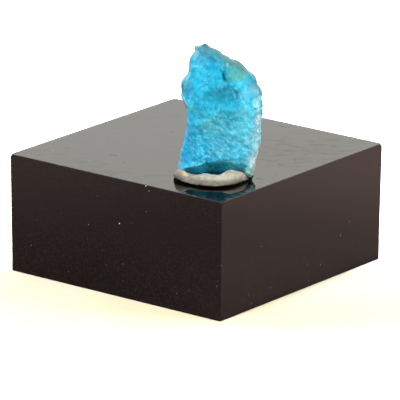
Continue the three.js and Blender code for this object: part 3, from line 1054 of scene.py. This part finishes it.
def put_in_place(name: str, shape: Shape, to_row: Matrix,
                 material: bpy.types.Material) -> bpy.types.Object:
    """Turns a finished shape into a smooth object of the scene.

    Args:
        name: the piece's name.
        shape: its shape, which is freed.
        to_row: the transform from the shape's own frame to the row's.
        material: its finish.

    Returns:
        The piece.
    """
    shape.transform(to_row)
    bmesh.ops.recalc_face_normals(shape, faces=shape.faces)
    mesh = bpy.data.meshes.new(name)
    shape.to_mesh(mesh)
    shape.free()
    mesh.materials.append(material)
    mesh.shade_smooth()
    return add_object(name, mesh)


def declare(piece: bpy.types.Object, node: Node) -> None:
    """Puts a piece on the body in place of a frame node, and reports it."""
    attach(piece, "root")
    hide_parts(node.value)
    LOG.info("%s: %d faces, in place of %s", piece.name, len(piece.data.polygons), node.value)


def soft_step(value: float, low: float, high: float) -> float:
    """A soft step from 0 to 1 as a value goes from low to high."""
    share = min(1.0, max(0.0, (value - low) / (high - low)))
    return share * share * (3.0 - 2.0 * share)


def from_line(place: Vector, start: Vector, end: Vector) -> float:
    """How far a place is from a straight line between two points."""
    run = end - start
    share = min(1.0, max(0.0, (place - start).dot(run) / run.length_squared))
    return (place - start - run * share).length


def along_and_across(place: Vector, turn: float) -> tuple[float, float]:
    """How far a place is along and across a direction that is turned from x towards z."""
    return (place.x * math.cos(turn) + place.z * math.sin(turn),
            place.z * math.cos(turn) - place.x * math.sin(turn))


@dataclass
class ApatiteShard:
    """The broken shard, with its crags, ripples, streaks, ledges and grain.

    Lengths are in millimetres, in the specimen's frame. A pull is a place, how far the surface is
    drawn out there, and how far from the place that fades.

    Attributes:
        finish: its look.
        stand: where it stands.
        voxel: the grid that its surface is made on.
        foot: how high its underside is held off the block's top, at the least.
        crag_height: the height of its uneven break.
        ripple_height: the height of the rings about the blow.
        ripple_spacing: how far apart they are.
        blow: where the blow struck.
        streak_height: the height of the frosted face's streaks.
        streak_turn: the way they run.
        rim_height: the height of the right-hand side's broken steps.
        grain_height: the height of the fine grain.
        points: pulls that make thin, sharp corners.
        pinch: how much of the thickness such a corner loses.
        outline: pulls that true the outline.
        swells: pulls that fill hollows.
        worn: ovals that are smoothed, and how often.
        front: how far a surface has to face the front for its ripples to start, and be full.
        frosted: where the frosted part ends, going up.
        rim_side: where the right-hand side's steps start, going right.
        rim_top: where they end, going up.
    """

    finish: ApatiteFinish
    stand: Stand
    voxel: float = 0.07
    foot: float = 0.02
    crag_height: float = 0.11
    ripple_height: float = 0.004
    ripple_spacing: float = 0.62
    blow: Vector = field(default_factory=lambda: Vector((0.6, -1.0, 15.8)))
    streak_height: float = 0.08
    streak_turn: float = math.radians(-50.0)
    rim_height: float = 0.15
    grain_height: float = 0.022
    pinch: float = 0.6
    points: tuple[Pull, ...] = (
        ((-2.5, 0.0, 14.6), (0.22, 0.0, 0.0), 0.9),
        ((-2.3, 0.0, 15.1), (-0.26, 0.0, 0.22), 0.45),
        ((-1.2, 0.0, 15.2), (-0.05, 0.0, 0.12), 0.5),
        ((5.0, -1.2, 9.2), (-0.2, 0.0, 0.0), 0.8),
        ((5.0, -1.0, 1.9), (-0.25, 0.0, 0.0), 0.9),
        ((4.6, -1.0, 0.3), (0.15, 0.0, 0.0), 0.7),
    )
    outline: tuple[Pull, ...] = (
        ((0.3, 0.0, 14.8), (0.15, 0.0, 0.13), 1.1),
        ((2.6, 0.0, 13.0), (0.09, 0.0, 0.06), 1.2),
        ((4.2, 0.0, 11.4), (0.24, 0.0, 0.0), 1.1),
        ((4.8, 0.0, 9.8), (0.24, 0.0, 0.0), 1.1),
        ((-2.7, 0.0, 13.4), (-0.1, 0.0, 0.0), 0.7),
        ((-3.5, 0.0, 10.9), (-0.26, 0.0, 0.0), 1.5),
        ((-3.6, 0.0, 5.0), (-0.2, 0.0, 0.0), 3.4),
        ((4.7, 0.0, 4.0), (0.1, 0.0, 0.0), 2.0),
    )
    swells: tuple[Pull, ...] = (
        ((3.9, -1.2, 0.7), (0.0, -0.9, 0.0), 1.4),
        ((4.0, -1.7, 0.75), (0.0, 0.0, -0.45), 1.0),
        ((4.25, -1.5, 0.3), (0.0, 0.0, -0.5), 0.6),
        ((2.9, -1.6, 1.1), (0.0, -0.7, 0.0), 1.4),
        ((2.3, -2.2, 2.5), (0.0, 0.0, -0.4), 1.4),
    )
    worn: tuple[tuple[Point, Point, int], ...] = (
        ((0.4, -2.0, 9.6), (4.2, 3.0, 3.6), 90),
        ((3.0, -1.6, 2.2), (3.0, 3.0, 2.2), 60),
    )
    front: Span = (0.3, 0.8)
    frosted: Span = (7.2, 8.6)
    rim_side: Span = (3.7, 4.4)
    rim_top: Span = (8.6, 9.6)

    def build(self) -> bpy.types.Object:
        """Makes the shard and puts it in its place."""
        to_row = self.stand.to_row()
        shape = fine_copy(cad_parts[Node.SHARD.value], to_row.inverted(), self.voxel)
        self._smooth(shape, shape.verts[:], 1)
        for centre, reach, passes in self.worn:
            near = [v for v in shape.verts if self._inside(v.co, centre, reach)]
            self._smooth(shape, near, passes)
        self._draw_out(shape)
        shape.normal_update()
        top = max(vert.co.z for vert in shape.verts)
        moves = [(vert, vert.normal * self._relief(vert.co, vert.normal)) for vert in shape.verts]
        for vert, move in moves:
            vert.co += move
            vert.co.z = min(max(vert.co.z, self.foot), top)
        piece = put_in_place("apatite_shard", shape, to_row, self.finish.material())
        declare(piece, Node.SHARD)
        return piece

    def _draw_out(self, shape: Shape) -> None:
        """Fills hollows, trues the outline, and draws its corners out into thin, sharp points."""
        for place, pull, reach in self.swells:
            for vert in shape.verts:
                away = (vert.co - Vector(place)).length
                vert.co += Vector(pull) * (1.0 - soft_step(away, 0.0, reach))
        for pulls, thinned in ((self.outline, 0.0), (self.points, self.pinch)):
            for place, pull, reach in pulls:
                for vert in shape.verts:
                    away = math.hypot(vert.co.x - place[0], vert.co.z - place[2])
                    share = 1.0 - soft_step(away, 0.0, reach)
                    vert.co += Vector(pull) * share
                    vert.co.y += (place[1] - vert.co.y) * thinned * share

    @staticmethod
    def _smooth(shape: Shape, verts: list, passes: int) -> None:
        """Evens out a part of the surface."""
        for _ in range(passes):
            bmesh.ops.smooth_vert(shape, verts=verts, factor=0.5, use_axis_x=True, use_axis_y=True,
                                  use_axis_z=True)

    @staticmethod
    def _inside(place: Vector, centre: Point, reach: Point) -> bool:
        """Whether a place is in an oval."""
        return sum(((p - c) / r) ** 2 for p, c, r in zip(place, centre, reach)) < 1.0

    def _relief(self, place: Vector, normal: Vector) -> float:
        """How far the surface stands out from the frame's solid at a place."""
        front = soft_step(-normal.y, *self.front)
        low = 1.0 - soft_step(place.z, *self.frosted)
        rim = soft_step(place.x, *self.rim_side) * (1.0 - soft_step(place.z, *self.rim_top))
        height = self._crag(place)
        height += self.grain_height * (0.3 + 0.7 * low) * noise.noise(place * 5.0)
        height += front * (1.0 - low) * self._ripple(place)
        height += (0.4 + 0.6 * front) * low * self._streak(place)
        height += rim * self._rubble(place)
        return height

    def _crag(self, place: Vector) -> float:
        """The uneven break of the whole surface and its outline."""
        broad = noise.noise(place * 0.8 + Vector((5.0, 1.0, 0.0)))
        step = noise.noise(place * 1.9)
        fine = 0.5 - abs(noise.noise(place * 3.1))
        return self.crag_height * (0.6 * broad + 0.5 * step + 0.2 * fine)

    def _ripple(self, place: Vector) -> float:
        """The rings about the point where the blow struck."""
        away = (place - self.blow).length
        sway = 0.8 * noise.noise(place * 0.6)
        return self.ripple_height * math.sin(2.0 * math.pi * (away + sway) / self.ripple_spacing)

    def _streak(self, place: Vector) -> float:
        """The slanting streaks of the frosted face."""
        along, across = along_and_across(place, self.streak_turn)
        broad = noise.noise(Vector((along * 0.6, across * 1.7, place.y)))
        fine = noise.noise(Vector((along * 1.6, across * 3.6, 7.0 + place.y)))
        return self.streak_height * (0.6 * broad + 0.5 * fine)

    def _rubble(self, place: Vector) -> float:
        """The small broken steps of the right-hand side."""
        lump = noise.noise(place * 1.9 + Vector((3.0, 0.0, 0.0)))
        chip = abs(noise.noise(place * 3.8))
        return self.rim_height * (0.7 * lump - 0.9 * chip)


@dataclass
class MountingPutty:
    """The pad of putty, pressed into folds round the shard's foot.

    Lengths are in millimetres, in the specimen's frame.

    Attributes:
        finish: its look.
        stand: where it stands.
        voxel: the grid that its surface is made on.
        grip: how far it reaches into the shard's surface.
        gap: how far from the shard it is drawn towards it.
        foot: how much of its lowest part keeps its shape.
        dent: the depth of its broad dents.
        fold: the height of its folds.
        fold_turn: the way they run.
        right_end: where its right-hand end starts.
        right_share: how much of that end's length is pressed in.
        left_end: where its left-hand end starts.
        left_share: how much longer that end is drawn out.
        middle: its middle.
        half_width: half of its width.
        half_depth: half of its depth.
        outer: where its outer wall starts and is full, as shares of the way out from the middle.
        bulge: how far that wall bulges out.
        bulge_height: how high the bulge goes.
        tuck: how far that wall is tucked in underneath.
        tuck_height: where the tuck is full, and where it ends.
        left_tuck: how much further it is tucked in at the left-hand end.
        left: where that end's tuck starts and is full, to the left.
        lean: how far its upper front leans back.
        lean_height: where the lean starts and is full, going up.
        lean_front: the same, going forward.
        lean_left: the same, going right from the left-hand end.
        lean_right: where the lean starts to fade, and ends, going right.
        crease_depth: the depth of its creases.
        crease_width: half of their width.
        creases: where each crease starts and ends.
        lumps: where each lump is, how far it reaches, and how high it is.
    """

    finish: PuttyFinish
    stand: Stand
    voxel: float = 0.07
    grip: float = 0.03
    gap: float = 0.55
    foot: float = 0.06
    dent: float = 0.06
    fold: float = 0.12
    fold_turn: float = math.radians(27.0)
    right_end: float = 3.3
    right_share: float = 0.6
    left_end: float = -3.4
    left_share: float = 0.06
    middle: Point = (0.0, -0.6, 0.0)
    half_width: float = 4.45
    half_depth: float = 4.05
    outer: Span = (0.72, 0.95)
    bulge: float = 0.2
    bulge_height: float = 0.65
    tuck: float = 0.06
    tuck_height: Span = (0.0, 0.32)
    left_tuck: float = 0.26
    left: Span = (2.6, 4.0)
    lean: Point = (0.0, 0.48, -0.145)
    lean_height: Span = (0.5, 1.05)
    lean_front: Span = (2.0, 2.8)
    lean_left: Span = (-3.6, -2.6)
    lean_right: Span = (1.6, 3.4)
    crease_depth: float = 0.09
    crease_width: float = 0.22
    creases: tuple[tuple[Point, Point], ...] = (
        ((-2.9, -3.6, 0.1), (-1.9, -3.2, 1.2)),
        ((-1.7, -4.4, 0.1), (0.2, -4.0, 1.1)),
        ((0.6, -4.6, 0.1), (1.9, -3.4, 1.1)),
        ((3.1, -2.7, 0.1), (3.3, -1.9, 1.3)),
        ((-2.1, -3.7, 0.75), (-0.25, -4.3, 0.66)),
        ((-0.25, -4.3, 0.66), (0.5, -4.6, 0.35)),
    )
    lumps: tuple[tuple[Point, float, float], ...] = (
        ((-4.3, -1.4, 1.1), 0.9, 0.2),
        ((3.3, -2.2, 0.9), 0.9, 0.25),
        ((-2.7, -2.2, 1.2), 0.8, -0.16),
        ((-1.2, -2.7, 1.2), 0.9, 0.2),
    )

    def build(self, shard: bpy.types.Object) -> bpy.types.Object:
        """Makes the putty and puts it in its place.

        Args:
            shard: the finished shard, which the putty is pressed against.

        Returns:
            The piece.
        """
        to_row = self.stand.to_row()
        shape = fine_copy(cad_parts[Node.PUTTY.value], to_row.inverted(), self.voxel)
        for vert in shape.verts:
            vert.co.x -= self.right_share * max(0.0, vert.co.x - self.right_end)
            vert.co.x += self.left_share * max(0.0, self.left_end - vert.co.x)
            vert.co += self._swell(vert.co)
            if vert.co.z > self.foot:
                vert.co += vert.normal * self._relief(vert.co)
                for centre, reach, rise in self.lumps:
                    away = (vert.co - Vector(centre)).length
                    vert.co.z += rise * (1.0 - soft_step(away, 0.0, reach))
        self._press(shape, shard, to_row)
        piece = put_in_place("putty_pad", shape, to_row, self.finish.material())
        declare(piece, Node.PUTTY)
        return piece

    def _swell(self, place: Vector) -> Vector:
        """How far the outer wall bulges out, leans back higher up, and is tucked in underneath."""
        offset = place - Vector(self.middle)
        outward = Vector((offset.x / self.half_width, offset.y / self.half_depth, 0.0))
        outer = soft_step(outward.length, *self.outer)
        under = 1.0 - soft_step(place.z, *self.tuck_height)
        left = soft_step(-place.x, *self.left)
        wave = math.sin(math.pi * min(1.0, max(0.0, place.z) / self.bulge_height))
        out = self.bulge * (1.0 - left) * wave - (self.tuck + self.left_tuck * left) * under
        upper = soft_step(place.z, *self.lean_height) * soft_step(-place.y, *self.lean_front)
        right = 1.0 - soft_step(place.x, *self.lean_right)
        back = upper * right * soft_step(place.x, *self.lean_left)
        return outward.normalized() * out * outer + Vector(self.lean) * back

    def _relief(self, place: Vector) -> float:
        """Dents, finger marks and creases."""
        along, across = along_and_across(place, self.fold_turn)
        broad = noise.noise(Vector((0.5 * along, 0.9 * place.y, 1.9 * across)))
        fine = noise.noise(Vector((1.3 * along, 2.2 * place.y, 4.6 * across)))
        height = self.dent * noise.noise(place * 1.1) + self.fold * (broad + 0.4 * fine)
        for start, end in self.creases:
            away = from_line(place, Vector(start), Vector(end))
            height -= self.crease_depth * math.exp(-((away / self.crease_width) ** 2))
        return height

    def _press(self, shape: Shape, shard: bpy.types.Object, to_row: Matrix) -> None:
        """Closes the frame's clearance, so that the putty grips the shard."""
        stone = bmesh.new()
        stone.from_mesh(shard.data)
        stone.transform(to_row.inverted())
        tree = BVHTree.FromBMesh(stone)
        stone.free()
        for vert in shape.verts:
            spot, normal, _, away = tree.find_nearest(vert.co, self.gap)
            if spot is None or vert.co.z < self.foot:
                continue
            pull = 1.0 - soft_step(away, 0.6 * self.gap, self.gap)
            target = spot - normal * self.grip
            target.z = vert.co.z
            vert.co = vert.co.lerp(target, pull)


@dataclass
class DisplayBlock:
    """The square block, with broken edges and worn top corners.

    Lengths are in metres.

    Attributes:
        finish: its look.
        corner: how far along its edges each top corner is worn off.
        edge: how far from each edge its rounding starts.
        segments: the flats in the rounding of an edge.
        flare: how many times as wide the block is at its top as at its foot.
    """

    finish: AcrylicFinish
    corner: float = 0.00038
    edge: float = 0.00013
    segments: int = 5
    flare: float = 1.009

    def build(self) -> bpy.types.Object:
        """Makes the block and puts it in its place."""
        low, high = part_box(Node.BLOCK.value)
        shape = bmesh.new()
        bmesh.ops.create_cube(shape, size=1.0)
        bmesh.ops.scale(shape, verts=shape.verts, vec=high - low)
        top = [v for v in shape.verts if v.co.z > 0.0]
        bmesh.ops.scale(shape, verts=top, vec=(self.flare, self.flare, 1.0))
        bmesh.ops.translate(shape, verts=shape.verts, vec=(low + high) / 2.0)
        self._bevel(shape, top, "VERTICES", self.corner, 1)
        self._bevel(shape, shape.edges[:], "EDGES", self.edge, self.segments)
        piece = put_in_place("black_block", shape, Matrix.Identity(4), self.finish.material())
        weigh = piece.modifiers.new("flat faces", "WEIGHTED_NORMAL")
        weigh.keep_sharp = True
        declare(piece, Node.BLOCK)
        return piece

    @staticmethod
    def _bevel(shape: Shape, geom: list, affect: str, size: float, segments: int) -> None:
        """Rounds edges or corners."""
        bmesh.ops.bevel(shape, geom=geom, offset=size, offset_type="OFFSET", affect=affect,
                        segments=segments, profile=0.5, material=-1, clamp_overlap=True)


# ---------------------------------------------------------------- studio


def direction(azimuth: float, elevation: float) -> Vector:
    """The way to a place that is turned about the object from its front, and raised."""
    return Vector((math.sin(azimuth) * math.cos(elevation), -math.cos(azimuth) * math.cos(elevation),
                   math.sin(elevation)))


@dataclass(frozen=True)
class Lamp:
    """A soft square lamp that isn't seen itself.

    Attributes:
        name: its name.
        azimuth: where it stands round the object.
        elevation: how high it is.
        distance: how far it is, in metres.
        size: its side, in metres.
        power: in watts.
    """

    name: str
    azimuth: float
    elevation: float
    distance: float
    size: float
    power: float

    def build(self) -> None:
        """Makes the lamp."""
        data = bpy.data.lights.new(self.name, "AREA")
        data.size = self.size
        data.energy = self.power
        lamp = add_object(self.name, data)
        way = direction(self.azimuth, self.elevation)
        lamp.matrix_world = (Matrix.Translation(way * self.distance)
                             @ way.to_track_quat("Z", "Y").to_matrix().to_4x4())
        lamp.visible_camera = False
        lamp.visible_glossy = False
        lamp.visible_transmission = False


@dataclass
class Studio:
    """The camera, the floor and the light.

    Attributes:
        effects: the effects that finishes share.
        azimuth: where the camera stands round the object.
        elevation: how high it looks down from.
        roll: how far it is tipped sideways.
        distance: how far it is from the block's middle, in metres.
        aside: how far it stands to its own right of the line to the middle, in metres.
        above: the same, upwards.
        lens: its focal length, in millimetres.
        floor_size: the floor's side, in metres.
        floor_colour: the floor's colour.
        cream: the painted warm shade round the block.
        warm: the deeper painted warm shade close to the block's front.
        bounced: the colour of the light that it throws back.
        room: how bright the room is all round.
        backdrop: how much brighter it is behind the block.
        behind: how far back a ray has to point for the backdrop to start, and be full.
        overhead: how far up it has to point for the ceiling to start and be full, and how much
            brighter that is.
        through: how much of the ceiling's light is seen through the stone.
        air: the light's colour.
        seen: how bright the backdrop looks.
        mottle: the floor's faint mottling.
        cream_front: where its cream part starts, in metres from the middle towards the camera.
        cream_end: where that part ends.
        ragged: how uneven that end is.
        ragged_reach: by how much, in metres.
        warm_end: where the part close to the block's front ends.
        left: how much of that light it throws back on the left, and on the right.
        corner: where the floor in front of the block's corner throws less back.
        corner_share: how much it throws back elsewhere, and there.
        lamps: the lamps.
    """

    effects: Effects
    azimuth: float = math.radians(37.59)
    elevation: float = math.radians(16.77)
    roll: float = math.radians(0.47)
    distance: float = 0.6086
    aside: float = 0.00039
    above: float = 0.00078
    lens: float = 479.0
    floor_size: float = 6.0
    floor_colour: Colour = (0.97, 0.97, 0.97)
    cream: Colour = (0.45, 0.415, 0.33)
    warm: Colour = (0.45, 0.40, 0.282)
    bounced: Colour = (0.36, 0.255, 0.24)
    room: float = 0.38
    backdrop: float = 0.98
    behind: Span = (-0.15, 0.55)
    overhead: Band = Band(UP, 0.3, 0.85, (0.0, 0.9))
    through: float = 0.2
    air: Colour = (1.0, 0.985, 0.93)
    seen: float = 1.2
    mottle: Cloud = Cloud(60.0, edge=(0.3, 0.7), share=(0.95, 1.0))
    cream_front: Span = (-0.004, 0.004)
    cream_end: Span = (0.042, 0.028)
    ragged: Cloud = Cloud(90.0, 4.0)
    ragged_reach: float = 0.012
    warm_end: Span = (0.004, 0.018)
    left: Band = Band((1.0, 1.0, 0.0), -0.03, 0.03, (0.62, 1.0))
    corner: Patch = Patch((0.015, -0.015, 0.0), (0.075, 0.075, 1.0))
    corner_share: Span = (1.0, 0.55)
    lamps: tuple[Lamp, ...] = (
        Lamp("key", math.radians(5.0), math.radians(62.0), 0.6, 0.14, 6.4),
        Lamp("side", math.radians(115.0), math.radians(28.0), 0.6, 0.16, 3.6),
    )

    def build(self) -> None:
        """Makes the camera, the floor and the light."""
        self._camera()
        self._floor()
        self._sky()
        for lamp in self.lamps:
            lamp.build()
        bpy.context.scene.view_settings.view_transform = "Standard"

    def _camera(self) -> None:
        """The camera."""
        low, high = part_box(Node.BLOCK.value)
        back = direction(self.azimuth, self.elevation)
        level = back.cross(Vector((0.0, 0.0, -1.0))).normalized()
        upward = back.cross(level)
        turn = Matrix.Rotation(self.roll, 3, back)
        right, up = turn @ level, turn @ upward
        data = bpy.data.cameras.new("camera")
        data.lens = self.lens
        data.clip_start = 0.01
        data.clip_end = 20.0
        camera = add_object("camera", data)
        place = (low + high) / 2.0 + back * self.distance + right * self.aside + up * self.above
        axes = Matrix((right, up, back)).transposed().to_4x4()
        camera.matrix_world = Matrix.Translation(place) @ axes
        bpy.context.scene.camera = camera

    def _floor(self) -> None:
        """A plain pale floor with painted warm shade round the block, that throws little light back on
        its sides.
        """
        shape = bmesh.new()
        bmesh.ops.create_grid(shape, x_segments=1, y_segments=1, size=self.floor_size / 2.0)
        mesh = bpy.data.meshes.new("floor")
        shape.to_mesh(mesh)
        shape.free()
        floor = add_object("floor", mesh)
        material, graph, output = start_material("floor", self.floor_colour)
        point = graph.surface("Object")
        nearer = graph.dot(point, direction(self.azimuth, 0.0))
        uneven = graph.times(graph.noise(point, self.ragged), self.ragged_reach)
        # painted shade: a warm cream patch round the block, warmer still close to its front
        near = graph.times(graph.ramp(nearer, *self.cream_front),
                           graph.ramp(graph.math("ADD", nearer, uneven), *self.cream_end))
        cream = graph.mix(graph.ramp(nearer, *self.warm_end), self.cream, self.warm)
        creamy = graph.times(near, graph.clouds(point, self.mottle))
        shown = graph.mix(creamy, self.floor_colour, cream)
        seen = graph.add("BsdfDiffuse", {"Color": shown})
        # painted shade in what the floor throws back: less on the left and in front of the block's
        # corner
        corner = graph.ramp(self.corner.mask(graph, self.effects, point), 0.0, 1.0, self.corner_share)
        level = graph.times(self.left.mask(graph, point), corner)
        bounced = graph.add("BsdfDiffuse", {"Color": graph.mix(level, (0.0, 0.0, 0.0), self.bounced)})
        graph.feed(output.inputs["Surface"], self._split(graph, bounced, seen))
        mesh.materials.append(material)

    def _sky(self) -> None:
        """A pale studio: a bright backdrop and ceiling, and a dimmer room in front."""
        world = bpy.data.worlds.new("studio")
        world.use_nodes = True
        world.node_tree.nodes.clear()
        graph = Graph(world.node_tree)
        way = graph.surface("Generated")
        away = -direction(self.azimuth, 0.0)
        behind = graph.ramp(graph.dot(way, away), *self.behind, (0.0, self.backdrop))
        inside = graph.add("LightPath").outputs["Is Transmission Ray"]
        overhead = graph.times(self.overhead.mask(graph, way),
                               graph.ramp(inside, 0.0, 1.0, (1.0, self.through)))
        strength = graph.math("ADD", graph.math("ADD", behind, overhead), self.room)
        seen = graph.add("Background", {"Color": (1.0, 1.0, 1.0), "Strength": self.seen})
        light = graph.add("Background", {"Color": self.air, "Strength": strength})
        end = world.node_tree.nodes.new("ShaderNodeOutputWorld")
        graph.feed(end.inputs["Surface"], self._split(graph, light, seen))
        bpy.context.scene.world = world

    @staticmethod
    def _split(graph: Graph, lighting: bpy.types.Node, seen: bpy.types.Node) -> Socket:
        """One shader for what lights the scene, and another for what is seen directly."""
        mixed = graph.add("MixShader", {0: graph.add("LightPath").outputs["Is Camera Ray"]})
        graph.feed(mixed.inputs[1], lighting.outputs[0])
        graph.feed(mixed.inputs[2], seen.outputs[0])
        return mixed.outputs[0]


def main() -> None:
    """Builds the specimen and its studio, and reports each piece."""
    logging.basicConfig(level=logging.INFO, format="%(message)s")
    stand = Stand()
    effects = Effects()
    Studio(effects).build()
    DisplayBlock(AcrylicFinish(effects)).build()
    shard = ApatiteShard(ApatiteFinish(effects, stand), stand).build()
    MountingPutty(PuttyFinish(effects, stand), stand).build(shard)


if __name__ == "__main__":
    main()
